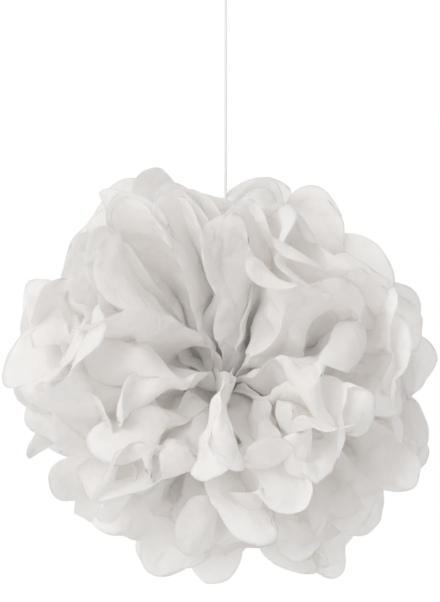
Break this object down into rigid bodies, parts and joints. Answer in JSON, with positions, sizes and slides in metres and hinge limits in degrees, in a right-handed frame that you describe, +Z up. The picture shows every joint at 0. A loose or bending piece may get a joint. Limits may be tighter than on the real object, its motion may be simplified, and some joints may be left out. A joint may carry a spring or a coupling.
{
  "type": "tissue paper pom pom",
  "caption": "Tissue paper pom pom: accordion-folded sheets tied at the middle, cut round at both ends and fluffed into a ball that hangs on a cord with a loop.",
  "frame": {"origin": "inside the top of the hanging loop, where it rests on its hook", "axes": "+Z up along the taut cord; -Y is the ball's front; X runs along the folded stack, through the tie"},
  "size_m": [0.3492, 0.2702, 0.5211],
  "materials": {
    "tissue": "soft matte white tissue paper, thin enough to let some light through, finely creased",
    "cord": "fine white braided cotton cord"
  },
  "bodies": {
    "root": {"front_sheet_1": "tissue", "front_sheet_2": "tissue", "front_sheet_3": "tissue", "front_sheet_4": "tissue", "front_sheet_5": "tissue", "back_sheet_1": "tissue", "back_sheet_2": "tissue", "back_sheet_3": "tissue", "back_sheet_4": "tissue", "back_sheet_5": "tissue", "centre_tie": "cord", "tie_knot": "cord", "hanging_cord": "cord", "hanging_loop": "cord"}
  },
  "joints": []
}
